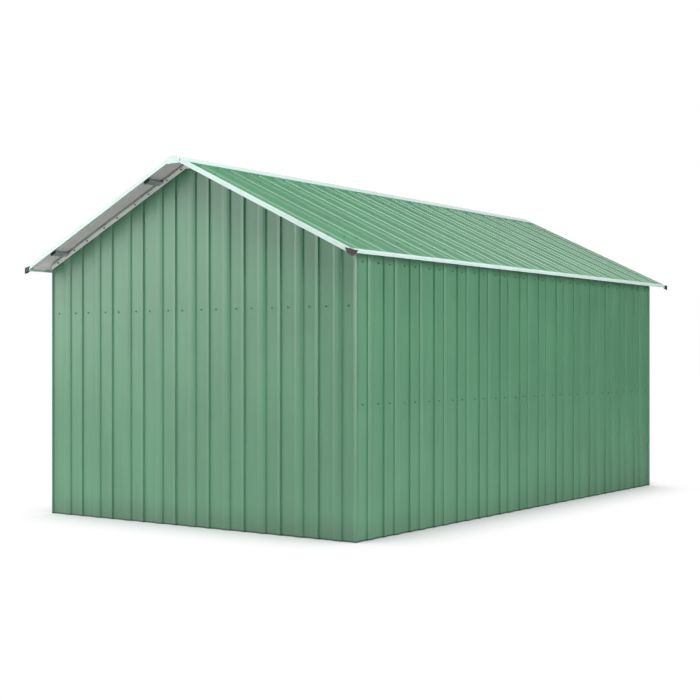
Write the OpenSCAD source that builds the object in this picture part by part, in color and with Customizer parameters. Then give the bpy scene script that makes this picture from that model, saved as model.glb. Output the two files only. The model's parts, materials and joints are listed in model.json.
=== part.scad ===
// Metal garage: a gable roofed shed of ribbed steel sheet on a light tube frame.
// Millimetres, +Z up. The origin is at the middle of the footprint, on the ground.
// The ridge runs along Y; the gable walls face -Y and +Y.

/* [Ribbed sheet] */
// Distance between two ribs of the same kind
rib_pitch = 333.3; // [280:0.1:380]
// Width of a wide rib at its foot
wide_rib = 82; // [66:1:90]
// Width of the flat top of a wide rib
wide_top = 30; // [20:1:40]
// Width of a narrow rib at its foot
narrow_rib = 36; // [30:1:44]
// Distance from the middle between two wide ribs to the steep foot of a narrow rib
narrow_foot = 9; // [6:0.5:12]
// Height of the ribs above the flat pans
rib_h = 12; // [8:0.5:14]
// Fall of the gentle shoulders of a rib
shoulder = 3; // [2:0.5:4]
// Width of the steep side of a rib, seen square to the sheet
steep_w = 4.5; // [3:0.5:7]
// Thickness of the steel sheet and of the folded trims
sheet_t = 0.7; // [0.6:0.1:1.2]

/* [Walls] */
// Number of rib pitches across a gable wall
gable_pitches = 9; // [6:1:12]
// Number of rib pitches along a side wall
side_pitches = 15; // [9:1:20]
// Distance from the face of a gable wall to the middle of the first narrow rib of a side wall
corner_run = 21; // [18:1:28]
// Shift of the inner ribs of a gable wall to the right, seen from outside
gable_rib_shift = 7; // [-10:1:10]
// Height of the side wall sheets
side_h = 1990; // [1800:5:2300]
// Height of the girt behind the side wall sheets
side_girt_z = 934; // [700:1:1200]
// Height of the girt behind the gable wall sheets
gable_girt_z = 1610; // [1300:1:1700]

/* [Frame] */
// Side of the square tube of posts, rails and rafters
tube = 30; // [25:1:40]
// Wall thickness of all frame tubes
tube_t = 2; // [1.5:0.5:3]
// Height of the wall plates above the top of the lowest rafter end
plate_drop = 65; // [50:1:90]

/* [Roof] */
// Pitch of the roof in degrees
roof_pitch = 25.66; // [20:0.5:30]
// Overhang of the roof past the side walls
eave_overhang = 102; // [70:1:150]
// Overhang of the roof past the gable walls
gable_overhang = 190; // [140:1:230]
// Width of a purlin along the slope
purlin_w = 52; // [40:1:60]
// Depth of a purlin square to the slope
purlin_h = 18; // [15:1:22]
// Distance from the ridge to the middle of an upper purlin, level
upper_purlin_x = 303; // [220:1:400]
// Distance from the side wall to the middle of a lower purlin, level
lower_purlin_in = 178; // [150:1:300]
// Distance from the rake trims back to the end caps of the purlins
purlin_back = 33; // [4:1:60]
// Gap between each roof sheet and the ridge line, level
ridge_gap = 25; // [20:1:40]
// Distance from the lower end of a roof sheet to the face of the eave trim
eave_lip = 18; // [10:1:24]
// Shift of the roof's ribs towards the rear
roof_shift = -7; // [-14:1:10]

/* [Trims] */
// Height of the upright face of a rake trim, square to the slope
rake_face = 29; // [24:1:40]
// Height of the upright face of an eave trim
eave_face = 20; // [16:1:30]
// Width of the roof flange of the rake and eave trims
flange_w = 30; // [26:1:40]
// Half width of the ridge cap, level
ridge_wing = 120; // [100:1:150]
// Half width of the flat top of the ridge cap
ridge_flat = 17; // [10:1:20]
// Half width of the apex plates
apex_w = 67; // [50:1:80]
// Open seam between an apex plate and a rake trim
seam = 1.5; // [0.5:0.5:3]
// Height of a gable strip square to the slope
strip_h = 42; // [36:1:48]
// Gap between a gable strip and the underside of the rib above it
strip_gap = 6; // [4.5:0.5:8]
// Half width of the flat apex of a gable strip
strip_flat = 48; // [30:1:60]
// Wall thickness of the plastic caps
cap_t = 2.5; // [2:0.5:4]
// Length of a corner cap along the rake trim, level
cap_w = 58; // [50:1:70]
// Length of a corner cap along the eave trim
cap_l = 76; // [60:1:100]
// Height of a corner cap at its corner
cap_h = 44; // [36:1:50]
// Fall of a corner cap's upper edge from the corner to its end on the rake trim
cap_fall = 12; // [6:1:15]
// Thickness of a purlin end sleeve
sleeve_t = 1.5; // [1:0.5:3]
// Length of a purlin end sleeve
sleeve_l = 8; // [6:1:60]

/* [Hidden] */

green = "mediumseagreen";
white = "whitesmoke";
zinc = "silver";
black = "black";

gap = 0.3;          // play between pieces that are set in or beside each other
cut = 1;            // how far a cutting shape runs past what it cuts
cap_sides = 10;     // straight sides in the curved edge of a corner cap
rake_power = 6;     // how full that edge is along the rake trim
eave_power = 2;     // and along the eave trim
cap_top = 22;       // length of a corner cap's small top plate

// Walls, over the ribs
wall_w = gable_pitches * rib_pitch;
ribs_l = side_pitches * rib_pitch;        // from the first to the last narrow rib of a side wall
wall_l = ribs_l + 2 * corner_run;
inner_x = wall_w / 2 - rib_h - sheet_t;   // inner face of a side sheet's pans
inner_y = wall_l / 2 - rib_h - sheet_t;   // inner face of a gable sheet's pans

// Roof, from the walls up: every plane is given by its height at the middle
slope = tan(roof_pitch);
lift = 1 / cos(roof_pitch);               // level height of one millimetre square to the slope
half_roof = wall_w / 2 + eave_overhang;
roof_l = wall_l + 2 * gable_overhang;
wall_play = 14;                           // from the side sheets up to the roof sheet
under_z = side_h + wall_play + slope * wall_w / 2;   // underside of the roof sheet's pans
rib_top_z = under_z + (rib_h + sheet_t) * lift;      // top of the roof sheet's ribs
trim_top_z = rib_top_z + (gap + sheet_t) * lift;     // top of the trims on the ribs
purlin_under_z = under_z - purlin_h * lift;          // underside of the purlins
rafter_under_z = purlin_under_z - tube * lift;
seat_z = rafter_under_z - slope * inner_x;           // top of the posts
lower_purlin_x = wall_w / 2 - lower_purlin_in;
strip_top_z = under_z + (rib_h - strip_gap) * lift;  // top of the gable sheets and strips
strip_low_z = strip_top_z - strip_h * lift;

function plane_z(top, x) = top - slope * abs(x);

// Face of a wide rib about c: steep side, shoulder, flat top and the same down again
function wide_face(c) = [
    [c - wide_rib / 2, -rib_h], [c - wide_rib / 2 + steep_w, -shoulder], [c - wide_top / 2, 0],
    [c + wide_top / 2, 0], [c + wide_rib / 2 - steep_w, -shoulder], [c + wide_rib / 2, -rib_h]
];

// Face of a narrow rib near c: one steep side up to a crest, and one long shoulder
function narrow_face(c, foot = narrow_foot) = [
    [c - foot, -rib_h], [c - foot + steep_w, 0],
    [c - narrow_foot + narrow_rib - steep_w, -shoulder], [c - narrow_foot + narrow_rib, -rib_h]
];

// Face of a sheet between two narrow ribs that lie a number of pitches apart
function ribbed_face(pitches, shift = 0) = [
    for (i = [0 : pitches - 1])
        let (c = (i - pitches / 2) * rib_pitch + shift)
            each concat(i > 0 ? narrow_face(c) : [], wide_face(c + rib_pitch / 2))
];

// Sheet face whose first and last ribs are narrow, on to the flat pans at both ends
function long_face(pitches, half) = concat(
    [[-half, -rib_h]], narrow_face(-pitches / 2 * rib_pitch), ribbed_face(pitches),
    narrow_face(pitches / 2 * rib_pitch), [[half, -rib_h]]
);

// The other side of a folded sheet: the same line, one sheet thickness to its right
function side_step(a, b) = [b[1] - a[1], a[0] - b[0]] / norm(b - a);
function inner_face(line) = [
    for (i = [0 : len(line) - 1])
        let (last = len(line) - 1,
             a = side_step(line[max(i - 1, 0)], line[max(i, 1)]),
             b = side_step(line[min(i, last - 1)], line[min(i + 1, last)]))
            line[i] + sheet_t * (a + b) / (1 + a * b)
];
function backwards(list) = [for (i = [len(list) - 1 : -1 : 0]) list[i]];

// Section of a sheet folded along a line
module folded(line) {
    polygon(concat(line, backwards(inner_face(line))));
}

// Section of a ribbed sheet, ribs upward and their tops at y = 0, between two ends
module sheet_section(line, low, high) {
    intersection() {
        folded(line);
        translate([low, -rib_h - sheet_t])
            square([high - low, rib_h + sheet_t]);
    }
}

module tube_along_y(w, h, l) {
    rotate([90, 0, 0])
        linear_extrude(height = l, center = true)
            difference() {
                square([w, h], center = true);
                square([w - 2 * tube_t, h - 2 * tube_t], center = true);
            }
}

// ---- Walls ----

// Face of a gable sheet: each end turns in at the corner, over the end of a side sheet
function gable_face() = concat(
    narrow_face(-wall_w / 2, 0), ribbed_face(gable_pitches, -gable_rib_shift),
    [[wall_w / 2 - narrow_foot, -rib_h], [wall_w / 2 - steep_w, 0], [wall_w / 2, 0],
     [wall_w / 2, -rib_h]]
);

// Ribbed sheet of a gable wall, outer face on y = 0, looking towards -Y
module gable_sheet() {
    difference() {
        intersection() {
            linear_extrude(height = strip_top_z)
                rotate(180)
                    sheet_section(gable_face(), -wall_w / 2, wall_w / 2);
            translate([0, -cut, 0])
                rotate([90, 0, 0])
                    translate([0, 0, -rib_h - sheet_t - 2 * cut])
                        linear_extrude(height = rib_h + sheet_t + 3 * cut)
                            gable_outline();
        }
        purlin_notches();
    }
}

module gable_outline() {
    polygon([
        [-wall_w / 2, 0], [wall_w / 2, 0], [wall_w / 2, plane_z(strip_top_z, wall_w / 2)],
        [0, strip_top_z], [-wall_w / 2, plane_z(strip_top_z, wall_w / 2)]
    ]);
}

// Openings in the gable sheet and strip for the four purlins
module purlin_notches() {
    for (x = [-lower_purlin_x, -upper_purlin_x, upper_purlin_x, lower_purlin_x])
        translate([x, 0, plane_z(under_z, x)])
            rotate([0, x > 0 ? roof_pitch : -roof_pitch, 0])
                translate([-purlin_w / 2 - cut, -2 * rib_h, -purlin_h - cut])
                    cube([purlin_w + 2 * cut, 4 * rib_h, purlin_h + 2 * rib_h]);
}

module gable_wall(side) {
    color(green)
        rotate([0, 0, side > 0 ? 180 : 0])
            translate([0, -wall_l / 2, 0])
                gable_sheet();
}

module side_wall(side) {
    half = inner_y - gap;
    color(green)
        translate([side * wall_w / 2, 0, 0])
            mirror([side > 0 ? 0 : 1, 0, 0])
                linear_extrude(height = side_h)
                    mirror([1, -1, 0])
                        sheet_section(long_face(side_pitches, wall_l), -half, half);
}

// ---- Frame ----

module corner_post(sx, sy) {
    color(zinc)
        translate([sx * (inner_x - tube / 2), sy * (inner_y - tube / 2), 0])
            linear_extrude(height = seat_z)
                difference() {
                    square(tube, center = true);
                    square(tube - 2 * tube_t, center = true);
                }
}

// A rail across the gable end at height z, between the corner posts
module gable_rail(sy, z) {
    color(zinc)
        translate([0, sy * (inner_y - tube / 2), z])
            rotate([0, 0, 90])
                tube_along_y(tube, tube, 2 * (inner_x - tube - gap));
}

// A rail along the side wall at height z, between the corner posts
module side_rail(sx, z) {
    color(zinc)
        translate([sx * (inner_x - tube / 2), 0, z])
            tube_along_y(tube, tube, 2 * (inner_y - tube - gap));
}

// Rafter behind a gable sheet, from the post up to the middle
module rafter(sx, sy) {
    foot = inner_x - tube;
    color(zinc)
        translate([0, sy * (inner_y - tube / 2), 0])
            rotate([90, 0, 0])
                mirror([sx > 0 ? 0 : 1, 0, 0])
                    linear_extrude(height = tube, center = true)
                        polygon([
                            [gap / 2, rafter_under_z], [foot, plane_z(rafter_under_z, foot)],
                            [foot, seat_z], [inner_x, seat_z],
                            [inner_x, plane_z(purlin_under_z, inner_x)], [gap / 2, purlin_under_z]
                        ]);
}

// ---- Roof ----

purlin_l = roof_l - 2 * (sheet_t + purlin_back + sleeve_t);

// Puts what lies flat, top at z = 0, on the right hand slope at level distance x
module on_slope(x, top) {
    translate([x, 0, plane_z(top, x)])
        rotate([0, roof_pitch, 0])
            children();
}

module purlin(sx, x) {
    color(zinc)
        mirror([sx > 0 ? 0 : 1, 0, 0])
            on_slope(x, under_z)
                translate([0, 0, -purlin_h / 2])
                    tube_along_y(purlin_w, purlin_h, purlin_l);
}

// Sleeves over the ends of all four purlins, open above, where the roof sheet lies
module purlin_caps(sy) {
    color(black)
        for (sx = [0, 1], x = [upper_purlin_x, lower_purlin_x])
            mirror([sx, 0, 0])
                on_slope(x, under_z)
                    mirror([0, sy > 0 ? 1 : 0, 0])
                        translate([0, -purlin_l / 2 - sleeve_t, 0])
                            sleeve();
}

module sleeve() {
    difference() {
        translate([-purlin_w / 2 - sleeve_t, 0, -purlin_h - sleeve_t])
            cube([purlin_w + 2 * sleeve_t, sleeve_l, purlin_h + sleeve_t]);
        translate([-purlin_w / 2, sleeve_t, -purlin_h])
            cube([purlin_w, sleeve_l, purlin_h + cut]);
    }
}

module roof_sheet(sx) {
    half = roof_l / 2 - sheet_t - gap;
    color(green)
        mirror([sx > 0 ? 0 : 1, 0, 0])
            on_slope(ridge_gap, rib_top_z)
                rotate([90, 0, 90])
                    linear_extrude(height = (half_roof - eave_lip - ridge_gap) * lift)
                        translate([roof_shift, 0])
                            sheet_section(long_face(side_pitches + 1, roof_l),
                                          -half - roof_shift, half - roof_shift);
}

module ridge_cap() {
    flat_z = plane_z(trim_top_z, ridge_flat);
    end_z = plane_z(trim_top_z, ridge_wing);
    color(white)
        rotate([90, 0, 0])
            linear_extrude(height = roof_l - 2 * sheet_t, center = true)
                polygon([
                    [-ridge_wing, end_z], [-ridge_flat, flat_z], [ridge_flat, flat_z], [ridge_wing, end_z],
                    [ridge_wing, end_z - sheet_t * lift], [ridge_flat, flat_z - sheet_t * lift],
                    [-ridge_flat, flat_z - sheet_t * lift], [-ridge_wing, end_z - sheet_t * lift]
                ]);
}

// Rake trim: an upright face over the sheet's edge and a flange on the slope
module rake_trim(sx, sy) {
    out = half_roof - sheet_t - gap;
    wing = ridge_wing + gap;
    edge = apex_w + seam;
    low = trim_top_z - rake_face * lift;
    under = trim_top_z - sheet_t * lift;
    color(white)
        mirror([sx > 0 ? 0 : 1, 0, 0])
            mirror([0, sy > 0 ? 1 : 0, 0])
                translate([0, -roof_l / 2, 0])
                    rotate([90, 0, 0]) {
                        translate([0, 0, -sheet_t])
                            linear_extrude(height = sheet_t)
                                polygon([
                                    [edge, plane_z(low, edge)], [out, plane_z(low, out)],
                                    [out, plane_z(trim_top_z, out)], [edge, plane_z(trim_top_z, edge)]
                                ]);
                        translate([0, 0, -flange_w])
                            linear_extrude(height = flange_w)
                                polygon([
                                    [wing, plane_z(under, wing)], [out, plane_z(under, out)],
                                    [out, plane_z(trim_top_z, out)], [wing, plane_z(trim_top_z, wing)]
                                ]);
                    }
}

// Eave trim: an upright face at the eave and a flange on the ribs
module eave_trim(sx) {
    top = plane_z(trim_top_z, half_roof);
    back = half_roof - flange_w / lift;
    color(white)
        mirror([sx > 0 ? 0 : 1, 0, 0])
            rotate([90, 0, 0]) {
                linear_extrude(height = roof_l, center = true)
                    polygon([
                        [half_roof - sheet_t, top - eave_face], [half_roof, top - eave_face],
                        [half_roof, top], [half_roof - sheet_t, top + sheet_t * slope]
                    ]);
                linear_extrude(height = roof_l - 2 * (flange_w + gap), center = true)
                    polygon([
                        [half_roof - sheet_t, plane_z(trim_top_z, half_roof - sheet_t)],
                        [half_roof - sheet_t, plane_z(trim_top_z - sheet_t * lift, half_roof - sheet_t)],
                        [back, plane_z(trim_top_z - sheet_t * lift, back)],
                        [back, plane_z(trim_top_z, back)]
                    ]);
            }
}

// Plate that closes the end of the ridge between the two rake trims
module apex_plate(sy) {
    low = plane_z(trim_top_z - rake_face * lift, apex_w);
    color(white)
        mirror([0, sy > 0 ? 1 : 0, 0])
            translate([0, -roof_l / 2 + sheet_t, 0])
                rotate([90, 0, 0])
                    linear_extrude(height = sheet_t)
                        polygon([
                            [-apex_w, low], [apex_w, low], [apex_w, plane_z(trim_top_z, apex_w)],
                            [ridge_flat, plane_z(trim_top_z, ridge_flat)],
                            [-ridge_flat, plane_z(trim_top_z, ridge_flat)],
                            [-apex_w, plane_z(trim_top_z, apex_w)]
                        ]);
}

// Flat strip along the top of a gable wall, cut level at its apex
module gable_strip(sy) {
    end = wall_w / 2;
    color(white)
        mirror([0, sy > 0 ? 1 : 0, 0])
            translate([0, -wall_l / 2, 0])
                difference() {
                    rotate([90, 0, 0])
                        linear_extrude(height = sheet_t)
                            polygon([
                                [-end, plane_z(strip_low_z, end)],
                                [-strip_flat, plane_z(strip_low_z, strip_flat)],
                                [strip_flat, plane_z(strip_low_z, strip_flat)],
                                [end, plane_z(strip_low_z, end)],
                                [end, plane_z(strip_top_z, end)], [0, strip_top_z],
                                [-end, plane_z(strip_top_z, end)]
                            ]);
                    purlin_notches();
                }
}

// Moulded cap over the corner of a rake and an eave trim: two skirts, deepest near
// the corner, and a small three-cornered top
module corner_cap(sx, sy) {
    out = half_roof + cap_t;
    top = trim_top_z + (gap + cap_t) * lift;
    color(black)
        mirror([sx > 0 ? 0 : 1, 0, 0])
            mirror([0, sy > 0 ? 1 : 0, 0])
                translate([0, -roof_l / 2 - cap_t, 0]) {
                    rotate([90, 0, 0])
                        translate([0, 0, -cap_t])
                            linear_extrude(height = cap_t)
                                polygon([for (p = skirt(cap_w, cap_fall, rake_power))
                                    [out - p[0], plane_z(top, out - p[0]) - p[1]]]);
                    translate([half_roof, 0, 0])
                        rotate([90, 0, 90])
                            linear_extrude(height = cap_t)
                                polygon([for (p = skirt(cap_l, cap_fall / 3, eave_power))
                                    [p[0], plane_z(top, out) - p[1]]]);
                    on_slope(out, top)
                        translate([0, 0, -cap_t])
                            linear_extrude(height = cap_t)
                                polygon([[0, 0], [-cap_top, 0], [0, cap_top]]);
                }
}

// Outline of a skirt: distance from the corner, depth below the top of the corner
function skirt(l, fall, power) = concat([[l, fall], [0, 0]], [
    for (i = [0 : cap_sides - 1])
        let (d = i / cap_sides) [d * l, cap_h * (1 - pow(d, power))]
]);

gable_wall(-1);  // front_gable_wall
gable_wall(1);  // rear_gable_wall
side_wall(-1);  // left_side_wall
side_wall(1);  // right_side_wall
corner_post(-1, -1);  // front_left_post
corner_post(1, -1);  // front_right_post
corner_post(-1, 1);  // rear_left_post
corner_post(1, 1);  // rear_right_post
gable_rail(-1, tube / 2);  // front_base_rail
gable_rail(1, tube / 2);  // rear_base_rail
side_rail(-1, tube / 2);  // left_base_rail
side_rail(1, tube / 2);  // right_base_rail
gable_rail(-1, gable_girt_z);  // front_gable_girt
gable_rail(1, gable_girt_z);  // rear_gable_girt
side_rail(-1, side_girt_z);  // left_side_girt
side_rail(1, side_girt_z);  // right_side_girt
side_rail(-1, side_h - plate_drop - tube / 2);  // left_wall_plate
side_rail(1, side_h - plate_drop - tube / 2);  // right_wall_plate
rafter(-1, -1);  // front_left_rafter
rafter(1, -1);  // front_right_rafter
rafter(-1, 1);  // rear_left_rafter
rafter(1, 1);  // rear_right_rafter
purlin(-1, upper_purlin_x);  // left_upper_purlin
purlin(1, upper_purlin_x);  // right_upper_purlin
purlin(-1, lower_purlin_x);  // left_lower_purlin
purlin(1, lower_purlin_x);  // right_lower_purlin
purlin_caps(-1);  // front_purlin_caps
purlin_caps(1);  // rear_purlin_caps
roof_sheet(-1);  // left_roof_sheet
roof_sheet(1);  // right_roof_sheet
ridge_cap();
rake_trim(-1, -1);  // front_left_rake_trim
rake_trim(1, -1);  // front_right_rake_trim
rake_trim(-1, 1);  // rear_left_rake_trim
rake_trim(1, 1);  // rear_right_rake_trim
eave_trim(-1);  // left_eave_trim
eave_trim(1);  // right_eave_trim
apex_plate(-1);  // front_apex_plate
apex_plate(1);  // rear_apex_plate
gable_strip(-1);  // front_gable_strip
gable_strip(1);  // rear_gable_strip
corner_cap(-1, -1);  // front_left_corner_cap
corner_cap(1, -1);  // front_right_corner_cap
corner_cap(-1, 1);  // rear_left_corner_cap
corner_cap(1, 1);  // rear_right_corner_cap
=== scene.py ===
import json
import math

import bmesh
import bpy
from bpy.props import FloatProperty, FloatVectorProperty, IntProperty, PointerProperty
from mathutils import Matrix, Vector


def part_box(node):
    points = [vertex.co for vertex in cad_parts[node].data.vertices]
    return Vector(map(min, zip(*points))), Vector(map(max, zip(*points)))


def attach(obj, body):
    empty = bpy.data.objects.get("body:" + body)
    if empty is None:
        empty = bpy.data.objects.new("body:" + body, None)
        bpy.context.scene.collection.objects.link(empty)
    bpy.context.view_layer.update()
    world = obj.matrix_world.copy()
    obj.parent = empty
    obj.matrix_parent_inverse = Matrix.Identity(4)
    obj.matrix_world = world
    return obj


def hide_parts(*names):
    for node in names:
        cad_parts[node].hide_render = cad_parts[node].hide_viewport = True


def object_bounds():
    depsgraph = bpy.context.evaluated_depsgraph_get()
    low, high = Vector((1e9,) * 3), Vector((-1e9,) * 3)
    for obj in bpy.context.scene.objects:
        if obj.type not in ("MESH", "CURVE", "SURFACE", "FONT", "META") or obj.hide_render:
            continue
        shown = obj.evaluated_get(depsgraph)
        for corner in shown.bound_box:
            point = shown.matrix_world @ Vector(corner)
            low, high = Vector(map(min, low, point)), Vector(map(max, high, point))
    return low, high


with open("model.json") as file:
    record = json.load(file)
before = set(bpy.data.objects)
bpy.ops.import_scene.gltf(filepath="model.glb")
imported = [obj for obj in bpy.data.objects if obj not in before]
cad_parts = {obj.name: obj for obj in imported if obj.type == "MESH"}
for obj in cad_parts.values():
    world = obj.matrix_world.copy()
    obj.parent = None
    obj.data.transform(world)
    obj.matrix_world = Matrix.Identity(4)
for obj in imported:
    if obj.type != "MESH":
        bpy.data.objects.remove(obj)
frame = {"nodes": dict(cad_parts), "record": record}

bl_info = {
    "name": "Metal Garage Looks",
    "version": (1, 0, 0),
    "blender": (4, 5, 0),
    "location": "View3D > Sidebar > Garage",
    "description": "Finishes, screws, laps and studio for a garage of ribbed sheet",
    "category": "Object",
}

BODY = "root"
CAD_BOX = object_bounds()
ENDS = ((-1, "front"), (1, "rear"))
HANDS = ((-1, "left"), (1, "right"))
EASE = 0.003             # play between added pieces and the trims beside them
CAP_REACH = 0.062        # room for a corner cap along a rake
EAVE_CAP_REACH = 0.082   # and along an eave
RIDGE_CLEAR = 0.2        # from the ridge to the first rivet of a rake
RAKE_RIVETS = 4          # rivets along a rake
RIVET_STEP = 2           # ribs from one rivet to the next along an eave and the ridge
TRIM_RIVET_IN = 0.018    # from the edge of a flange to its rivets
APEX_RIVET_OUT = 0.75    # how far out on an apex plate its rivets are, as a share of its half width
APEX_RIVET_UP = 0.62     # and how far up, as a share of its height
PIN_IN = 0.013           # from the sides of a corner cap to its pins
CLOSURE_BACK = 0.0005    # from the edge of the ridge cap to the fillers under it
CLOSURE_DEPTH = 0.02     # length of the fillers up the slope
SCREW_UP = 0.38          # how far up a strip its screws are, as a share of its height
SCREW_ROOM = 2.5         # room for a strip's screws beside a purlin, in washer diameters
WASHER_RUBBER = 0.0022   # thickness of the rubber under a washer
WASHER_DISH = 0.0012     # height of a washer's dish over its rubber
HEAD_FLANGE = 0.0011     # thickness of the flange of a screw head
HEAD_SIDES = 6
ROUND_SIDES = 18         # sides of a round washer or flange
RIVET_SIDES = 14
SEAL = 0.0045            # width of a bead of sealant
SEAL_RISE = 0.0012       # how far the bead on an apex plate stands out of it
SEAL_INSET = 0.0002      # and how far it reaches in
PURLIN_ROOM = 0.032      # room for a purlin on each side of its middle
MERGE = 0.00001          # points of a plastic cap nearer than this are one
FLAT_ANGLE = math.radians(1)     # below it two faces of a cap are one
FOLD_ANGLE = math.radians(30)    # over it an edge of a cap is rounded
SHARP_ANGLE = math.radians(40)   # over it an edge is drawn sharp
FOOT_SHADE_RISE = 0.22         # height to which the foot of the walls is darker, as painted shade near the floor
GABLE_FOOT_SHADE = 0.3         # share of its brightness that the paint at the foot of a gable wall loses to painted shade
SIDE_FOOT_SHADE = 0.15         # and of a side wall
DUST_RISE = 0.14         # height to which the walls are dusty
DUST = (0.16, 0.17, 0.13)
FOOT_SHADOW = 0.011        # height of the painted contact shadow, a dark band along the foot of the walls
FOOT_SHADOW_EDGE = 0.001        # height over which it ends
FOOT_SHADOW_COLOUR = (0.008, 0.022, 0.014)
FLOOR_HALF = 80          # half the width of the studio floor
FLOOR_DROP = 0.0005      # from the foot of the walls to the floor
FLOOR_GLOW = 1.02        # level of the floor where nothing stands near
# colour of the floor in the painted shade near the walls, tinted green as painted light thrown back by
# the walls
FLOOR_SHADE = (0.26, 0.33, 0.29, 1.0)
SHADE_REACH = 0.8        # how far from the walls the floor is shaded
LAMP_REACH = 9.0         # from the middle of the garage to the lamps
SOFTBOXES = {            # azimuth, elevation, width, height and level
    "left_softbox": (-128, 10, 5.0, 3.5, 3.6),
    "left_high_softbox": (-155, 35, 5.0, 5.0, 7.0),
    "front_high_softbox": (-74, 56, 7.0, 6.0, 6.9),
    "right_softbox": (-5, 12, 8.0, 3.5, 5.8),
    "rear_softbox": (90, 20, 8.0, 5.0, 0.85),
    "rear_left_softbox": (145, 12, 8.0, 4.0, 4.0),
}
SHEETS = {               # the way that each sheet faces
    "front_gable_wall": (0, -1, 0),
    "rear_gable_wall": (0, 1, 0),
    "left_side_wall": (-1, 0, 0),
    "right_side_wall": (1, 0, 0),
    "left_roof_sheet": (0, 0, 1),
    "right_roof_sheet": (0, 0, 1),
}


def nodes_in_slot(slot):
    """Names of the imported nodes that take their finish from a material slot."""
    return [part["node"] for part in frame["record"]["subparts"] if part["material_slot"] == slot]


# ---- Sizes and colours ----


def length(name, description, default, low=0.0, high=20.0):
    return FloatProperty(name=name, description=description, default=default, min=low, max=high,
                         unit="LENGTH", precision=4)


def colour(name, description, default):
    return FloatVectorProperty(name=name, description=description, default=default, size=3,
                               min=0.0, max=1.0, subtype="COLOR")


class GarageSizes(bpy.types.PropertyGroup):
    """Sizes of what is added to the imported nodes, and of the ribs that it follows."""

    gable_pitches: IntProperty(name="Gable pitches", description="Rib pitches across a gable wall",
                               default=9, min=3, max=20)
    side_pitches: IntProperty(name="Side pitches", description="Rib pitches along a side wall",
                              default=15, min=3, max=30)
    lap_pitches: IntProperty(name="Lap pitches", description="Rib pitches from one sheet lap to the next",
                             default=3, min=1, max=6)
    gable_shift: length("Gable shift", "Shift of a gable's inner ribs to the right", 0.007, -0.1)
    roof_shift: length("Roof shift", "Shift of the roof's ribs towards the rear", -0.007, -0.1)
    wide_rib: length("Wide rib", "Width of a wide rib at its foot", 0.082)
    wide_top: length("Wide top", "Width of the flat top of a wide rib", 0.030)
    narrow_rib: length("Narrow rib", "Width of a narrow rib at its foot", 0.036)
    narrow_foot: length("Narrow foot", "Distance from the middle to a narrow rib's steep foot", 0.009)
    rib_height: length("Rib height", "Height of the ribs above the pans", 0.012)
    shoulder: length("Shoulder", "Fall of a rib's gentle shoulder", 0.003)
    steep: length("Steep side", "Width of a rib's steep side", 0.0045)
    sheet: length("Sheet", "Thickness of the sheet", 0.0007)
    washer: length("Washer", "Diameter of a screw's sealing washer", 0.013)
    head: length("Head", "Width across the flats of a screw head", 0.008)
    head_height: length("Head height", "Height of a screw head over its washer", 0.005)
    rivet: length("Rivet", "Diameter of a rivet head", 0.008)
    hem: length("Hem", "Thickness of the folded edge of a trim", 0.0018)
    hem_height: length("Hem height", "Height of the folded edge of a trim", 0.007)
    groove: length("Groove", "Depth of the grooves rolled into a purlin", 0.003)
    fold_radius: length("Fold radius", "Radius of the rounded edges of the plastic caps", 0.0035)


class GarageColours(bpy.types.PropertyGroup):
    """Colours of the finishes."""

    paint: colour("Paint", "Outer paint of the sheets", (0.046, 0.186, 0.089))
    back: colour("Back coat", "Grey coat on the inner face of the sheets", (0.40, 0.39, 0.385))
    trim: colour("Trim", "Paint of the trims", (0.49, 0.61, 0.57))
    strip: colour("Strip", "Coat of the strips on the gables", (0.66, 0.70, 0.66))
    zinc: colour("Zinc", "Galvanised tube", (0.50, 0.51, 0.52))
    plastic: colour("Plastic", "Moulded caps", (0.020, 0.017, 0.017))
    head: colour("Screw head", "Lacquer on the screw heads", (0.052, 0.170, 0.092))
    filler: colour("Filler", "Foam fillers under the ridge cap", (0.13, 0.34, 0.21))
    rubber: colour("Rubber", "Sealing washers", (0.048, 0.110, 0.070))
    floor: colour("Floor", "Studio floor", (0.80, 0.80, 0.80))


class GarageStudio(bpy.types.PropertyGroup):
    """Camera and light."""

    camera: FloatVectorProperty(name="Camera", description="Place of the camera", size=3,
                                default=(6.6485, -9.8381, 1.2490), subtype="TRANSLATION")
    turn: FloatProperty(name="Turn", description="Turn of the camera from +Y towards -X",
                        default=0.6175, subtype="ANGLE")
    lens: FloatProperty(name="Lens", description="Focal length in millimetres", default=68.03)
    rise: FloatProperty(name="Rise", description="Vertical shift of the lens", default=0.01224)
    sky: FloatProperty(name="Sky", description="Strength of the even light", default=0.2, min=0.0)


def settings():
    scene = bpy.context.scene
    return scene.garage_sizes, scene.garage_colours, scene.garage_studio


# ---- Shader nodes ----


class Value:
    """A number in a node tree. Arithmetic on it adds Math nodes."""

    def __init__(self, nodes, socket):
        self.nodes = nodes
        self.socket = socket

    def math(self, operation, *terms):
        inputs = dict(enumerate(terms))
        return self.nodes.value("ShaderNodeMath", {"operation": operation}, inputs)

    def __add__(self, other):
        return self.math("ADD", self, other)

    def __sub__(self, other):
        return self.math("SUBTRACT", self, other)

    def __rsub__(self, other):
        return self.math("SUBTRACT", other, self)

    def __mul__(self, other):
        return self.math("MULTIPLY", self, other)

    __radd__ = __add__
    __rmul__ = __mul__


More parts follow.
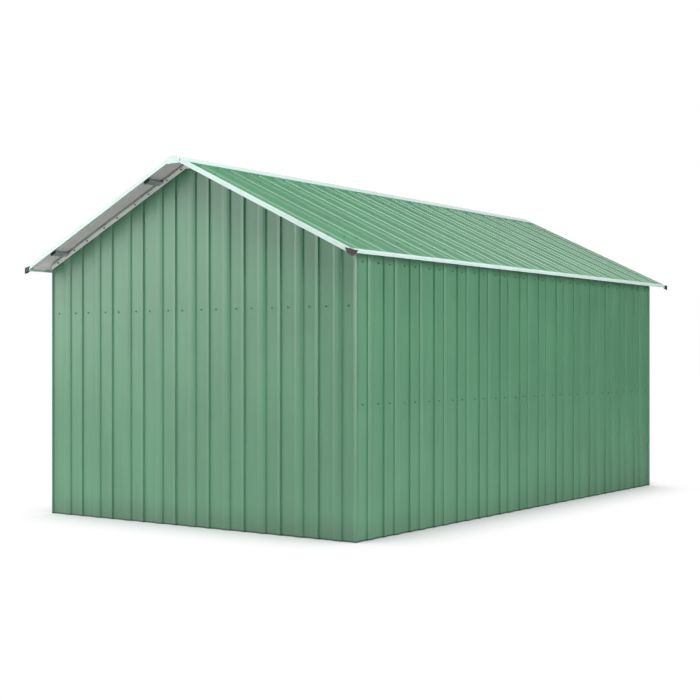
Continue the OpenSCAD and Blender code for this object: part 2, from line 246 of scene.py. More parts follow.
class Nodes:
    """Adds nodes to a node tree. An input takes a number, a colour or a Value."""

    def __init__(self, tree):
        self.tree = tree
        tree.nodes.clear()

    def add(self, kind, settings=None, inputs=None):
        node = self.tree.nodes.new(kind)
        for name, setting in (settings or {}).items():
            setattr(node, name, setting)
        for name, given in (inputs or {}).items():
            if isinstance(given, Value):
                self.tree.links.new(given.socket, node.inputs[name])
            else:
                node.inputs[name].default_value = given
        return node

    def value(self, kind, settings=None, inputs=None, output=0):
        return Value(self, self.add(kind, settings, inputs).outputs[output])

    def mix(self, factor, first, second):
        """Colour that goes from first to second as factor goes from 0 to 1."""
        return self.value("ShaderNodeMix", {"data_type": "RGBA"},
                          {0: factor, 6: rgba(first), 7: rgba(second)}, output=2)

    def smooth(self, value, low, high):
        """0 below low, 1 above high, and a smooth step between."""
        return self.value("ShaderNodeMapRange", {"interpolation_type": "SMOOTHSTEP"},
                          {"Value": value, "From Min": low, "From Max": high})

    def place(self, scale=(1, 1, 1)):
        """Coordinates in metres, stretched by scale."""
        source = self.value("ShaderNodeTexCoord", output="Object")
        return self.value("ShaderNodeMapping", inputs={"Vector": source, "Scale": scale})

    def noise(self, size, scale=(1, 1, 1), detail=3.0):
        """Noise from 0 to 1, whose features are about size metres wide."""
        return self.value("ShaderNodeTexNoise", {},
                          {"Vector": self.place(scale), "Scale": 1.0 / size, "Detail": detail})


def rgba(given):
    return given if isinstance(given, Value) else (*given[:3], 1.0)


class Finish:
    """A named material with one Principled shader."""

    def __init__(self, name):
        self.material = bpy.data.materials.new(name)
        self.material.use_nodes = True
        self.nodes = Nodes(self.material.node_tree)

    def surface(self, bumps=(), **inputs):
        """Sets the shader. bumps are (height, metres of depth) pairs, the last one uppermost."""
        nodes = self.nodes
        normal = None
        for height, depth in bumps:
            lower = {"Normal": normal} if normal else {}
            normal = nodes.value("ShaderNodeBump", {}, {
                "Height": height, "Distance": depth, "Strength": 1.0, **lower})
        names = {name.replace("_", " ").title().replace("Ior", "IOR"): given
                 for name, given in inputs.items()}
        if "Base Color" in names:
            names["Base Color"] = rgba(names["Base Color"])
        if normal:
            names["Normal"] = normal
        shader = nodes.value("ShaderNodeBsdfPrincipled", {}, names)
        nodes.add("ShaderNodeOutputMaterial", {}, {"Surface": shader})
        return self.material


def painted_sheet(name, outward, colours):
    """Gloss paint on the outer face and a dull grey coat inside."""
    finish = Finish(name)
    nodes = finish.nodes
    is_wall = not outward[2]
    normal = nodes.value("ShaderNodeNewGeometry", output="Normal")
    towards = nodes.value("ShaderNodeVectorMath", {"operation": "DOT_PRODUCT"},
                          {0: normal, 1: outward}, output="Value")
    outside = nodes.smooth(towards, -0.15, -0.05)
    cloud = nodes.noise(0.6)
    speck = nodes.noise(0.004, detail=2.0)
    streak = nodes.noise(0.05, scale=(1, 1, 0.06) if is_wall else (0.06, 1, 1))
    deep = tuple(0.92 * part for part in colours.paint)
    pale = tuple(min(1.0, 1.06 * part + 0.003) for part in colours.paint)
    paint = nodes.mix(nodes.smooth(cloud * 0.6 + streak * 0.4, 0.35, 0.65), deep, pale)
    dust = 0
    if is_wall:
        height = nodes.value("ShaderNodeSeparateXYZ", inputs={
            "Vector": nodes.value("ShaderNodeTexCoord", output="Object")}, output="Z")
        dust = (1 - nodes.smooth(height, 0.0, DUST_RISE)) * nodes.smooth(streak, 0.35, 0.7) * 0.06
        # Painted shade: the foot of a wall darkens towards black, more on a gable than on a side wall
        foot_shade = (1 - nodes.smooth(height, 0.0, FOOT_SHADE_RISE)) * (GABLE_FOOT_SHADE if outward[1] else SIDE_FOOT_SHADE)
        paint = nodes.mix(foot_shade, nodes.mix(dust, paint, DUST), (0, 0, 0))
        # Painted contact shadow: a dark band along the very foot of a wall
        paint = nodes.mix(nodes.smooth(height, FOOT_SHADOW + FOOT_SHADOW_EDGE, FOOT_SHADOW), paint, FOOT_SHADOW_COLOUR)
    grey = nodes.mix(speck, tuple(0.9 * part for part in colours.back), colours.back)
    wave = nodes.noise(0.22, scale=(1, 1, 0.35) if is_wall else (0.35, 1, 1), detail=1.0)
    peel = nodes.noise(0.003, detail=1.0)
    return finish.surface(
        bumps=[(wave, 0.0006), (peel, 0.00001)],
        base_color=nodes.mix(outside, grey, paint),
        roughness=0.66 - outside * 0.23 + speck * 0.04 + dust * 0.5,
        specular_ior_level=1.0,
    )


def trim_paint(colours):
    return white_paint("white_trim_paint", colours.trim)


def strip_paint(colours):
    return white_paint("gable_strip_paint", colours.strip)


def white_paint(name, base):
    """White paint over folded sheet."""
    finish = Finish(name)
    nodes = finish.nodes
    cloud = nodes.noise(0.3)
    speck = nodes.noise(0.003, detail=2.0)
    shade = tuple(0.95 * part for part in base)
    return finish.surface(
        bumps=[(nodes.noise(0.15, detail=1.0), 0.0004), (nodes.noise(0.003, detail=1.0), 0.00001)],
        base_color=nodes.mix(nodes.smooth(cloud, 0.35, 0.65), shade, base),
        roughness=0.34 + speck * 0.08,
    )


def galvanised(colours):
    """Hot dip zinc with its crystal pattern."""
    finish = Finish("galvanised_tube")
    base = colours.zinc
    nodes = finish.nodes
    crystal = nodes.value("ShaderNodeTexVoronoi", {"feature": "F1"},
                          {"Vector": nodes.place(), "Scale": 90.0}, output="Color")
    tone = nodes.value("ShaderNodeSeparateColor", inputs={"Color": crystal})
    cloud = nodes.noise(0.12)
    dark = tuple(0.72 * part for part in base)
    return finish.surface(
        bumps=[(tone, 0.00003)],
        base_color=nodes.mix(tone * 0.6 + cloud * 0.4, dark, base),
        metallic=0.85,
        roughness=0.38 + tone * 0.14 + cloud * 0.1,
    )


def screw_paint(colours):
    return lacquer("screw_head_paint", colours.head)


def matched_paint(colours):
    return lacquer("roof_screw_paint", colours.paint)


def lacquer(name, base):
    """Lacquer on screw heads."""
    finish = Finish(name)
    nodes = finish.nodes
    speck = nodes.noise(0.002, detail=2.0)
    shade = tuple(0.8 * part for part in base)
    return finish.surface(
        bumps=[(speck, 0.00005)],
        base_color=nodes.mix(speck, shade, base),
        roughness=0.38 + speck * 0.1,
    )


def moulded_plastic(colours):
    """Black plastic with a fine grain."""
    finish = Finish("black_moulded_plastic")
    nodes = finish.nodes
    grain = nodes.noise(0.0012, detail=2.0)
    cloud = nodes.noise(0.03)
    pale = tuple(1.6 * part for part in colours.plastic)
    return finish.surface(
        bumps=[(grain, 0.00008)],
        base_color=nodes.mix(cloud * 0.7 + grain * 0.3, colours.plastic, pale),
        roughness=0.5 + grain * 0.15,
    )


def sealing_rubber(colours):
    """Rubber of the washers and the beads of sealant."""
    finish = Finish("washer_rubber")
    nodes = finish.nodes
    grain = nodes.noise(0.001, detail=2.0)
    pale = tuple(1.8 * part for part in colours.rubber)
    return finish.surface(
        bumps=[(grain, 0.00004)],
        base_color=nodes.mix(grain, colours.rubber, pale),
        roughness=0.7 + grain * 0.15,
    )


def filler_foam(colours):
    """Pale green closed-cell foam."""
    finish = Finish("filler_foam")
    nodes = finish.nodes
    cells = nodes.noise(0.002, detail=2.0)
    pale = tuple(1.15 * part for part in colours.filler)
    return finish.surface(
        bumps=[(cells, 0.0002)],
        base_color=nodes.mix(cells, colours.filler, pale),
        roughness=0.8 + cells * 0.1,
    )


FINISHES = {}


def finish_once(make, colours):
    """A material that several pieces share."""
    if make not in FINISHES:
        FINISHES[make] = make(colours)
    return FINISHES[make]


# ---- Meshes ----


def turned(bm, place, rings, sides, material=0):
    """Adds a closed shape of revolution about place's z axis from (radius, height) rings."""
    rows = [[bm.verts.new(place @ Vector((radius * math.cos(turn), radius * math.sin(turn), height)))
             for turn in (math.tau * side / sides for side in range(sides))]
            for radius, height in rings]
    faces = [bm.faces.new(rows[0][::-1]), bm.faces.new(rows[-1])]
    for low, high in zip(rows, rows[1:]):
        for side in range(sides):
            after = (side + 1) % sides
            faces.append(bm.faces.new((low[side], low[after], high[after], high[side])))
    for face in faces:
        face.material_index = material
        face.smooth = sides > HEAD_SIDES


def bar(bm, start, end, outline, across, up, material=0):
    """Adds a straight bar from start to end, whose outline is given by steps across and up."""
    ends = [[bm.verts.new(corner + across * step[0] + up * step[1]) for step in outline]
            for corner in (start, end)]
    faces = [bm.faces.new(ends[0][::-1]), bm.faces.new(ends[1])]
    count = len(outline)
    for point in range(count):
        after = (point + 1) % count
        faces.append(bm.faces.new((ends[0][point], ends[0][after], ends[1][after], ends[1][point])))
    for face in faces:
        face.material_index = material


def facing(point, outward):
    """Place at a point whose z axis looks outward."""
    return Matrix.Translation(point) @ outward.to_track_quat("Z", "Y").to_matrix().to_4x4()


def screw(bm, place, sizes):
    """Adds a hexagonal screw head with its flange, on a dished washer with a rubber seal."""
    washer = sizes.washer / 2
    seal = WASHER_RUBBER
    dish = seal + WASHER_DISH
    flange = dish + HEAD_FLANGE
    point = sizes.head / math.sqrt(3)
    top = flange + sizes.head_height
    turned(bm, place, [(washer, 0), (washer, seal * 0.7), (washer * 0.96, seal)], ROUND_SIDES, 1)
    turned(bm, place, [(washer * 0.92, seal * 0.9), (washer * 0.9, seal + 0.0004),
                       (washer * 0.6, dish)], ROUND_SIDES)
    turned(bm, place, [(point * 1.2, dish * 0.9), (point * 1.2, dish + 0.0006),
                       (point, flange)], ROUND_SIDES)
    turned(bm, place, [(point, flange * 0.95), (point, top - 0.0008), (point * 0.84, top)], HEAD_SIDES)


def rivet(bm, place, sizes):
    """Adds a domed rivet head with the dimple of its pin."""
    radius = sizes.rivet / 2
    turned(bm, place, [(radius, 0), (radius * 0.94, radius * 0.22), (radius * 0.66, radius * 0.4),
                       (radius * 0.34, radius * 0.46), (radius * 0.26, radius * 0.3)], RIVET_SIDES)


def to_mesh(name, bm):
    mesh = bpy.data.meshes.new(name)
    bmesh.ops.recalc_face_normals(bm, faces=bm.faces)
    bm.to_mesh(mesh)
    bm.free()
    mesh.set_sharp_from_angle(angle=SHARP_ANGLE)
    return mesh


def make_piece(name, bm, materials):
    """Puts finished faces in the scene as a piece of the garage."""
    piece = bpy.data.objects.new(name, to_mesh(name, bm))
    bpy.context.scene.collection.objects.link(piece)
    for material in materials:
        piece.data.materials.append(material)
    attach(piece, BODY)
    return piece


def dress(nodes, material):
    """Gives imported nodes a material."""
    for name in nodes:
        mesh = frame["nodes"][name].data
        mesh.materials.clear()
        mesh.materials.append(material)


# ---- Places on the building ----


def middle(node):
    low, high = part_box(node)
    return (low + high) / 2


def outer(node, axis, side):
    """The outermost coordinate of a node along an axis."""
    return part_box(node)[side > 0][axis]


class Slope:
    """One slope of the roof, whose planes are named by their height at the middle."""

    def __init__(self, side):
        self.side = side
        upper, lower = middle("right_upper_purlin"), middle("right_lower_purlin")
        self.rise = (upper.z - lower.z) / (lower.x - upper.x)
        self.pitch = math.atan(self.rise)
        self.down = Vector((side * math.cos(self.pitch), 0, -math.sin(self.pitch)))
        self.out = Vector((side * math.sin(self.pitch), 0, math.cos(self.pitch)))
        sizes = settings()[0]
        low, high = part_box("right_roof_sheet")
        end = low.x + (sizes.rib_height + sizes.sheet) * math.sin(self.pitch)
        self.rib_top = high.z + self.rise * end
        self.pan_top = self.rib_top - sizes.rib_height / math.cos(self.pitch)
        self.pan_under = self.pan_top - sizes.sheet / math.cos(self.pitch)
        low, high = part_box("front_right_rake_trim")
        self.trim_top = high.z + self.rise * low.x

    def point(self, x, y, plane):
        return Vector((self.side * x, y, plane - self.rise * x))

    def section(self, name):
        """Half the width of a purlin along the slope, and its depth across it."""
        low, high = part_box(name)
        size = high - low
        cos, sin = math.cos(self.pitch), math.sin(self.pitch)
        depth = (size.z * cos - size.x * sin) / math.cos(2 * self.pitch)
        return (size.x - depth * sin) / cos / 2, depth

    def purlin_x(self, name):
        """Level distance from the middle to where a purlin's middle meets the sheet."""
        return abs(middle(name).x) + self.section(name)[1] / 2 * math.sin(self.pitch)


class Sheet:
    """A ribbed sheet: where its ribs lie along it, which way they run, and which way it faces."""

    def __init__(self, pitches, shift, base, along, up, out):
        self.pitches = pitches
        self.shift = shift
        self.base, self.along, self.up, self.out = map(Vector, (base, along, up, out))
        self.pitch = 2 * outer("right_side_wall", 0, 1) / settings()[0].gable_pitches

    def at(self, along, up, out=0.0):
        return self.base + self.along * along + self.up * up + self.out * out

    def rib(self, number):
        """Middle of a narrow rib, counted from the first one."""
        return (number - self.pitches / 2) * self.pitch + self.shift

    def pans(self):
        """Middles of the flat pans."""
        sizes = settings()[0]
        half = self.pitch / 2
        after_narrow = (sizes.narrow_rib - sizes.narrow_foot + half - sizes.wide_rib / 2) / 2
        after_wide = (half + sizes.wide_rib / 2 + self.pitch - sizes.narrow_foot) / 2
        return [self.rib(number) + step for number in range(self.pitches)
                for step in (after_narrow, after_wide)]

    def narrow_face(self, number):
        """Points along and out that follow a narrow rib's face."""
        sizes = settings()[0]
        foot = self.rib(number) - sizes.narrow_foot
        end = foot + sizes.narrow_rib
        return [(foot, 0), (foot + sizes.steep, sizes.rib_height),
                (end - sizes.steep, sizes.rib_height - sizes.shoulder), (end, 0)]

    def wide_face(self, number):
        """Points along and out that follow a wide rib's face."""
        sizes = settings()[0]
        centre = self.rib(number) + self.pitch / 2
        right = [(centre + sizes.wide_top / 2, sizes.rib_height),
                 (centre + sizes.wide_rib / 2 - sizes.steep, sizes.rib_height - sizes.shoulder),
                 (centre + sizes.wide_rib / 2, 0)]
        return [(2 * centre - along, out) for along, out in reversed(right)] + right


class Strip:
    """The flat strip along the top of a gable wall."""

    def __init__(self, end):
        low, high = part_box(f"{end}_gable_strip")
        self.rise = Slope(1).rise
        self.reach = high.x
        self.top = high.z
        self.depth = high.z - self.rise * high.x - low.z
        self.face = outer(f"{end}_gable_strip", 1, -1 if end == "front" else 1)
        self.purlins = [Slope(1).purlin_x(f"right_{place}_purlin") for place in ("upper", "lower")]

    def low(self, x):
        return self.top - self.depth - self.rise * abs(x)

    def at(self, x):
        """Point where a screw goes through the strip."""
        return Vector((x, self.face, self.low(x) + self.depth * SCREW_UP))

    def is_clear(self, x):
        """Whether a screw at x misses the purlins and the strip's ends."""
        room = settings()[0].washer * SCREW_ROOM
        return abs(x) < self.reach - room / 2 and all(
            abs(abs(x) - purlin) > room for purlin in self.purlins)


def gable_sheet(side):
    sizes = settings()[0]
    face = outer("front_gable_wall" if side < 0 else "rear_gable_wall", 1, side)
    return Sheet(sizes.gable_pitches, -sizes.gable_shift, (0, face - side * sizes.rib_height, 0),
                 (side, 0, 0), (0, 0, 1), (0, side, 0))


def side_sheet(side):
    sizes = settings()[0]
    face = outer("left_side_wall" if side < 0 else "right_side_wall", 0, side)
    return Sheet(sizes.side_pitches, 0, (face - side * sizes.rib_height, 0, 0),
                 (0, 1, 0), (0, 0, 1), (side, 0, 0))


def roof_sheet(side):
    sizes = settings()[0]
    slope = Slope(side)
    return Sheet(sizes.side_pitches + 1, sizes.roof_shift, slope.point(0, 0, slope.pan_top),
                 (0, 1, 0), -slope.down, slope.out)


class GARAGE_OT_sheets(bpy.types.Operator):
    """Paints the wall and roof sheets"""

    bl_idname = "garage.sheets"
    bl_label = "Sheets"

    def execute(self, context):
        colours = settings()[1]
        for node, outward in SHEETS.items():
            dress([node], painted_sheet(f"{node}_paint", outward, colours))
        return {"FINISHED"}


class GARAGE_OT_trims(bpy.types.Operator):
    """Paints the folded trims"""

    bl_idname = "garage.trims"
    bl_label = "Trims"

    def execute(self, context):
        colours = settings()[1]
        dress(nodes_in_slot("white_trim"), finish_once(trim_paint, colours))
        dress([f"{end}_gable_strip" for _, end in ENDS], finish_once(strip_paint, colours))
        return {"FINISHED"}


class GARAGE_OT_laps(bpy.types.Operator):
    """Lays the edge of every sheet over the narrow rib of the next"""

    bl_idname = "garage.laps"
    bl_label = "Sheet Laps"

    def execute(self, context):
        for side, end in ENDS:
            sheet = gable_sheet(side)
            strip = Strip(end)
            self.make(f"{end}_gable", sheet, lambda along: (EASE, strip.low(along) - EASE))
        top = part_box("left_side_wall")[1].z
        for side, hand in HANDS:
            self.make(f"{hand}_side", side_sheet(side), lambda along: (EASE, top - EASE))
            slope = Slope(side)
            ridge = outer("ridge_cap", 0, 1) / math.cos(slope.pitch)
            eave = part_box("right_eave_trim")[0].x / math.cos(slope.pitch)
            self.make(f"{hand}_roof", roof_sheet(side), lambda along: (-eave + EASE, -ridge - EASE))
        return {"FINISHED"}

    def make(self, name, sheet, reach):
        sizes, colours, _ = settings()
        spare = sheet.pitches % sizes.lap_pitches
        first = (spare + sizes.lap_pitches) // 2 if spare else sizes.lap_pitches
        bm = bmesh.new()
        for number in range(first, sheet.pitches, sizes.lap_pitches):
            foot, crest, fall, end = sheet.narrow_face(number)
            under = [foot, crest, fall, (end[0] - EASE / 2, sizes.rib_height / 5)]
            over = [(foot[0] - sizes.sheet, 0), (crest[0] - sizes.sheet, crest[1] + sizes.sheet),
                    (fall[0] + sizes.sheet / 2, fall[1] + sizes.sheet),
                    (under[-1][0] + sizes.sheet, under[-1][1])]
            low, high = reach(foot[0])
            bar(bm, sheet.at(0, low), sheet.at(0, high), under + over[::-1], sheet.along, sheet.out)
        paint = painted_sheet(f"{name}_lap_paint", sheet.out, colours)
        make_piece(f"{name}_laps", bm, [paint])


class GARAGE_OT_screws(bpy.types.Operator):
    """Drives the screws of the walls, the strips and the roof"""

    bl_idname = "garage.screws"
    bl_label = "Screws"

    def execute(self, context):
        for side, end in ENDS:
            sheet = gable_sheet(side)
            rows = [middle(f"{end}_gable_girt").z]
            self.make(f"{end}_gable_screws", "green_sheet",
                      [(sheet.at(along, up), sheet.out) for up in rows for along in sheet.pans()])
            strip = Strip(end)
            self.make(f"{end}_strip_screws", "white_trim",
                      [(strip.at(sheet.at(along, 0).x), sheet.out) for along in sheet.pans()
                       if strip.is_clear(along)])
        for side, hand in HANDS:
            sheet = side_sheet(side)
            rows = [middle(f"{hand}_side_girt").z, middle(f"{hand}_wall_plate").z]
            self.make(f"{hand}_side_screws", "green_sheet",
                      [(sheet.at(along, up), sheet.out) for up in rows for along in sheet.pans()])
            sheet, slope = roof_sheet(side), Slope(side)
            rows = [-slope.purlin_x(f"{hand}_{place}_purlin") / math.cos(slope.pitch)
                    for place in ("upper", "lower")]
            self.make(f"{hand}_roof_screws", "green_sheet",
                      [(sheet.at(along, up), sheet.out) for up in rows for along in sheet.pans()], True)
        return {"FINISHED"}

    def make(self, name, slot, places, is_matched=False):
        sizes, colours, _ = settings()
        bm = bmesh.new()
        for point, outward in places:
            screw(bm, facing(point, outward), sizes)
        head, washer = (matched_paint, matched_paint) if is_matched else (screw_paint, sealing_rubber)
        make_piece(name, bm, [finish_once(head, colours), finish_once(washer, colours)])


class GARAGE_OT_hems(bpy.types.Operator):
    """Folds the edges of the trims and rivets them down"""

    bl_idname = "garage.hems"
    bl_label = "Hems and Rivets"

    def execute(self, context):
        for side, hand in HANDS:
            slope = Slope(side)
            for way, end in ENDS:
                self.rake(slope, way, end, hand)
            self.eave(slope, hand)
            self.ridge(slope, hand)
        for way, end in ENDS:
            self.apex(way, end)
        return {"FINISHED"}

    def fold(self, thickness, height):
        """Outline of a folded edge: steps out of the face and up from its lower edge."""
        soft = thickness / 3
        return [(0, soft), (thickness - soft, 0), (thickness, soft), (thickness, height - soft),
                (thickness - soft, height), (0, height)]

    def finish(self, name, bm):
        make_piece(name, bm, [finish_once(trim_paint, settings()[1])])

    def rivet_row(self, bm, slope, x):
        """Rivets a trim to the wide ribs of the roof."""
        sheet = roof_sheet(slope.side)
        for number in range(0, sheet.pitches, RIVET_STEP):
            y = sheet.rib(number) + sheet.pitch / 2
            rivet(bm, facing(slope.point(x, y, slope.trim_top), slope.out), settings()[0])

    def rake(self, slope, way, end, hand):
        sizes = settings()[0]
        low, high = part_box(f"{end}_right_rake_trim")
        face = outer(f"{end}_right_rake_trim", 1, way)
        edge = low.z + slope.rise * high.x
        bm = bmesh.new()
        outward = Vector((0, way, 0))
        bar(bm, slope.point(low.x, face, edge), slope.point(high.x - CAP_REACH, face, edge),
            self.fold(sizes.hem, sizes.hem_height), outward, slope.out)
        inner = face - way * TRIM_RIVET_IN
        for number in range(RAKE_RIVETS):
            x = RIDGE_CLEAR + (high.x - CAP_REACH - RIDGE_CLEAR) * number / (RAKE_RIVETS - 1)
            rivet(bm, facing(slope.point(x, inner, slope.trim_top), slope.out), sizes)
        self.finish(f"{end}_{hand}_rake_hem", bm)

    def eave(self, slope, hand):
        sizes = settings()[0]
        low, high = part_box("right_eave_trim")
        bm = bmesh.new()
        outward = Vector((slope.side, 0, 0))
        start, end = (Vector((slope.side * high.x, y, low.z))
                      for y in (low.y + EAVE_CAP_REACH, high.y - EAVE_CAP_REACH))
        bar(bm, start, end, self.fold(sizes.hem, sizes.hem_height), outward, Vector((0, 0, 1)))
        self.rivet_row(bm, slope, low.x + TRIM_RIVET_IN)
        self.finish(f"{hand}_eave_hem", bm)

    def ridge(self, slope, hand):
        sizes = settings()[0]
        low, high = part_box("ridge_cap")
        bm = bmesh.new()
        start, end = (slope.point(high.x, y, slope.trim_top) for y in (low.y, high.y))
        fold = [(-along, out) for out, along in self.fold(sizes.hem, sizes.hem_height)]
        bar(bm, start, end, fold, slope.down, slope.out)
        self.rivet_row(bm, slope, high.x - TRIM_RIVET_IN)
        self.finish(f"{hand}_ridge_hem", bm)

    def apex(self, way, end):
        sizes = settings()[0]
        low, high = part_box(f"{end}_apex_plate")
        face = outer(f"{end}_apex_plate", 1, way)
        rise = Slope(1).rise
        bm = bmesh.new()
        for x in (APEX_RIVET_OUT * low.x, APEX_RIVET_OUT * high.x):
            place = Vector((x, face, low.z + (high.z - low.z) * APEX_RIVET_UP - rise * abs(x) / 2))
            rivet(bm, facing(place, Vector((0, way, 0))), sizes)
        self.finish(f"{end}_apex_rivets", bm)
        self.apex_seal(way, end)

    def apex_seal(self, way, end):
        """Lays a bead of sealant over the seam between an apex plate and the lower rake trim."""
        low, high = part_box(f"{end}_apex_plate")
        face = outer(f"{end}_apex_plate", 1, way)
        rise = Slope(1).rise
        bm = bmesh.new()
        half = SEAL / 2
        plate = high.z - low.z - rise * high.x
        top = Slope(1).trim_top - rise * half - EASE / 2
        bottom = Slope(1).trim_top - plate + EASE
        bead = [(-half, -SEAL_INSET), (-half, SEAL_RISE / 2), (-half / 2, SEAL_RISE),
                (half / 2, SEAL_RISE), (half, SEAL_RISE / 2), (half, -SEAL_INSET)]
        x = -way * (high.x + outer(f"{end}_right_rake_trim", 0, -1)) / 2
        drop = Vector((x, 0, -rise * abs(x)))
        bar(bm, Vector((0, face, bottom)) + drop, Vector((0, face, top)) + drop, bead,
            Vector((1, 0, 0)), Vector((0, way, 0)))
        rubber = finish_once(sealing_rubber, settings()[1])
        make_piece(f"{end}_apex_seal", bm, [rubber])


class GARAGE_OT_seals(bpy.types.Operator):
    """Lays a bead of sealant between the strips and the roof"""

    bl_idname = "garage.seals"
    bl_label = "Seals"

    def execute(self, context):
        rubber = finish_once(sealing_rubber, settings()[1])
        bead = [(-SEAL_INSET, 0), (SEAL_INSET, 0), (SEAL, -SEAL / 3), (SEAL, -SEAL * 0.7),
                (SEAL * 0.6, -SEAL), (-SEAL_INSET, -SEAL)]
        for way, end in ENDS:
            strip = Strip(end)
            bm = bmesh.new()
            for side, _ in HANDS:
                slope = Slope(side)
                under = slope.pan_under - EASE / 10
                edges = [SEAL]
                for purlin in strip.purlins:
                    edges += [purlin - PURLIN_ROOM, purlin + PURLIN_ROOM]
                edges.append(strip.reach)
                ends = [slope.point(x, strip.face, under) for x in edges]
                for start, stop in zip(ends[::2], ends[1::2]):
                    bar(bm, start, stop, bead, Vector((0, way, 0)), Vector((0, 0, 1)))
            make_piece(f"{end}_strip_seal", bm, [rubber])
        return {"FINISHED"}


class GARAGE_OT_closures(bpy.types.Operator):
    """Closes the pans under the ridge cap with profiled fillers"""

    bl_idname = "garage.closures"
    bl_label = "Ridge Closures"

    def execute(self, context):
        sizes, colours, _ = settings()
        for side, hand in HANDS:
            slope, sheet = Slope(side), roof_sheet(side)
            path = []
            for number in range(sheet.pitches):
                path += sheet.narrow_face(number) + sheet.wide_face(number)
            path += sheet.narrow_face(sheet.pitches)
            top = sizes.rib_height + sizes.sheet / 4
            outline = path + [(path[-1][0], top), (path[0][0], top)]
            face = (outer("ridge_cap", 0, 1) - CLOSURE_BACK) / math.cos(slope.pitch)
            bm = bmesh.new()
            bar(bm, sheet.at(0, -face), sheet.at(0, CLOSURE_DEPTH - face), outline,
                sheet.along, sheet.out)
            make_piece(f"{hand}_ridge_closure", bm, [finish_once(filler_foam, colours)])
        return {"FINISHED"}


class GARAGE_OT_frame(bpy.types.Operator):
    """Galvanises the tube frame and rolls the grooves of the purlins"""

    bl_idname = "garage.frame"
    bl_label = "Tube Frame"

    def execute(self, context):
        colours = settings()[1]
        zinc = finish_once(galvanised, colours)
        dress(nodes_in_slot("zinc_tube"), zinc)
        for side, hand in HANDS:
            for place in ("upper", "lower"):
                self.purlin(f"{hand}_{place}_purlin", Slope(side), zinc)
        return {"FINISHED"}

    def purlin(self, node, slope, zinc):
        """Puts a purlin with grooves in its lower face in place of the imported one."""
        groove = settings()[0].groove
        low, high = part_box(node)
        half, depth = slope.section(node)
        soft = groove / 2
        right = [(0, -depth), (half / 3 - groove, -depth), (half / 3 - soft, groove - depth),
                 (half / 3 + soft, groove - depth), (half / 3 + groove, -depth),
                 (half - soft, -depth), (half, soft - depth), (half, 0)]
        outline = [(-across, up) for across, up in reversed(right[1:])] + right
        start, end = (slope.point(slope.purlin_x(node), y, slope.pan_under) for y in (low.y, high.y))
        bm = bmesh.new()
        bar(bm, start, end, outline, slope.down, slope.out)
        piece = make_piece(f"{node}_rolled", bm, [zinc])
        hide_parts(node)


class GARAGE_OT_caps(bpy.types.Operator):
    """Rounds the edges of the plastic caps and pins them"""

    bl_idname = "garage.caps"
    bl_label = "Plastic Caps"

    def execute(self, context):
        plastic = finish_once(moulded_plastic, settings()[1])
        for node in nodes_in_slot("black_plastic"):
            bm = bmesh.new()
            bm.from_mesh(frame["nodes"][node].data)
            bmesh.ops.remove_doubles(bm, verts=bm.verts, dist=MERGE)
            bmesh.ops.dissolve_limit(bm, angle_limit=FLAT_ANGLE, verts=bm.verts, edges=bm.edges)
            sharp = [edge for edge in bm.edges if edge.calc_face_angle(0) > FOLD_ANGLE]
            bmesh.ops.bevel(bm, geom=sharp, offset=settings()[0].fold_radius, segments=2,
                            profile=0.6, affect="EDGES", clamp_overlap=True)
            if node.endswith("corner_cap"):
                self.pin(bm, node)
            piece = make_piece(f"{node}_moulding", bm, [plastic])
            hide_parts(node)
        return {"FINISHED"}

    def pin(self, bm, node):
        """Adds the pins that hold a corner cap to the two trims."""
        sizes = settings()[0]
        low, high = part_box(node)
        slope = Slope(1 if "right" in node else -1)
        way = 1 if "rear" in node else -1
        far_x, far_y = max(abs(low.x), abs(high.x)), max(abs(low.y), abs(high.y))
        cap_top = high.z + slope.rise * (far_x - (high.x - low.x))
        for back, along in ((PIN_IN, CAP_REACH * 0.75), (EAVE_CAP_REACH * 0.8, PIN_IN)):
            place = slope.point(far_x - along, way * (far_y - back), cap_top)
            rivet(bm, facing(place, slope.out), sizes)


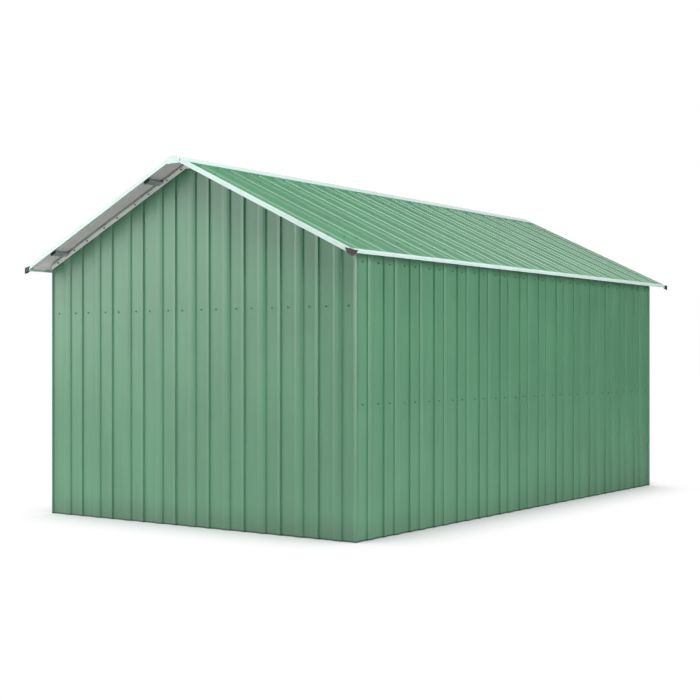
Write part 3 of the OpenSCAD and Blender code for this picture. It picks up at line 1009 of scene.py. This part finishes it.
class GARAGE_OT_stage(bpy.types.Operator):
    """Sets the floor, the light and the camera"""

    bl_idname = "garage.stage"
    bl_label = "Studio"

    def execute(self, context):
        _, colours, studio = settings()
        self.make_floor(colours)
        self.make_sky(studio)
        self.make_lamps()
        self.make_camera(studio)
        context.scene.view_settings.view_transform = "Standard"
        return {"FINISHED"}

    def make_floor(self, colours):
        bm = bmesh.new()
        bmesh.ops.create_grid(bm, x_segments=2, y_segments=2, size=FLOOR_HALF)
        floor = bpy.data.objects.new("studio_floor", to_mesh("studio_floor", bm))
        floor.location.z = CAD_BOX[0].z - FLOOR_DROP
        bpy.context.scene.collection.objects.link(floor)
        material = bpy.data.materials.new("studio_floor")
        material.use_nodes = True
        nodes = Nodes(material.node_tree)
        seen = nodes.value("ShaderNodeLightPath", output="Is Camera Ray")
        tone = nodes.noise(3.0)
        plain = nodes.value("ShaderNodeBsdfDiffuse", {}, {
            "Color": nodes.mix(tone, tuple(0.97 * part for part in colours.floor), colours.floor)})
        shaded = nodes.value("ShaderNodeBsdfDiffuse", {}, {"Color": FLOOR_SHADE})
        white = nodes.value("ShaderNodeEmission", {},
                            {"Color": (1.0, 1.0, 1.0, 1.0), "Strength": FLOOR_GLOW})
        # Near the walls an occlusion mask swaps the white glow for the lit floor: painted shade, tinted
        # green as painted bounce from the walls
        clear = nodes.value("ShaderNodeAmbientOcclusion", {"samples": 8},
                            {"Distance": SHADE_REACH}, output="AO")
        open_floor = nodes.smooth(clear, 0.15, 1.0)
        bright = nodes.value("ShaderNodeMixShader", {}, {0: open_floor, 1: shaded, 2: white})
        shader = nodes.value("ShaderNodeMixShader", {}, {0: seen, 1: plain, 2: bright})
        nodes.add("ShaderNodeOutputMaterial", {}, {"Surface": shader})
        floor.data.materials.append(material)

    def make_sky(self, studio):
        world = bpy.data.worlds.new("studio_sky")
        bpy.context.scene.world = world
        world.use_nodes = True
        nodes = Nodes(world.node_tree)
        seen = nodes.value("ShaderNodeLightPath", output="Is Camera Ray")
        strength = seen * (1.0 - studio.sky) + studio.sky
        light = nodes.value("ShaderNodeBackground", {}, {"Color": (1, 1, 1, 1), "Strength": strength})
        nodes.add("ShaderNodeOutputWorld", {}, {"Surface": light})

    def make_lamps(self):
        centre = (CAD_BOX[0] + CAD_BOX[1]) / 2
        for name, (azimuth, elevation, width, height, level) in SOFTBOXES.items():
            light = bpy.data.lights.new(name, "AREA")
            light.shape = "RECTANGLE"
            light.size, light.size_y = width, height
            light.energy = level * math.pi * width * height
            turn, lift = math.radians(azimuth), math.radians(elevation)
            outward = Vector((math.cos(lift) * math.cos(turn), math.cos(lift) * math.sin(turn),
                              math.sin(lift)))
            lamp = bpy.data.objects.new(name, light)
            lamp.location = centre + outward * LAMP_REACH
            lamp.rotation_euler = outward.to_track_quat("Z", "Y").to_euler()
            lamp.visible_camera = False
            bpy.context.scene.collection.objects.link(lamp)

    def make_camera(self, studio):
        camera = bpy.data.objects.new("camera", bpy.data.cameras.new("camera"))
        camera.location = studio.camera
        camera.rotation_euler = (math.pi / 2, 0, studio.turn)
        camera.data.lens = studio.lens
        camera.data.shift_y = studio.rise
        bpy.context.scene.collection.objects.link(camera)
        bpy.context.scene.camera = camera


class GARAGE_PT_panel(bpy.types.Panel):
    """Lists the steps that dress the garage"""

    bl_label = "Metal Garage"
    bl_idname = "GARAGE_PT_panel"
    bl_space_type = "VIEW_3D"
    bl_region_type = "UI"
    bl_category = "Garage"

    def draw(self, context):
        for step in STEPS:
            self.layout.operator(step.bl_idname)


STEPS = (
    GARAGE_OT_sheets,
    GARAGE_OT_trims,
    GARAGE_OT_laps,
    GARAGE_OT_screws,
    GARAGE_OT_hems,
    GARAGE_OT_seals,
    GARAGE_OT_closures,
    GARAGE_OT_frame,
    GARAGE_OT_caps,
    GARAGE_OT_stage,
)
GROUPS = {
    "garage_sizes": GarageSizes,
    "garage_colours": GarageColours,
    "garage_studio": GarageStudio,
}


def register():
    for group in GROUPS.values():
        bpy.utils.register_class(group)
    for step in (*STEPS, GARAGE_PT_panel):
        bpy.utils.register_class(step)
    for name, group in GROUPS.items():
        setattr(bpy.types.Scene, name, PointerProperty(type=group))


def unregister():
    for name in GROUPS:
        delattr(bpy.types.Scene, name)
    for step in (GARAGE_PT_panel, *reversed(STEPS)):
        bpy.utils.unregister_class(step)
    for group in reversed(GROUPS.values()):
        bpy.utils.unregister_class(group)


def main():
    register()
    for step in STEPS:
        space, name = step.bl_idname.split(".")
        getattr(getattr(bpy.ops, space), name)()


if __name__ == "__main__":
    main()
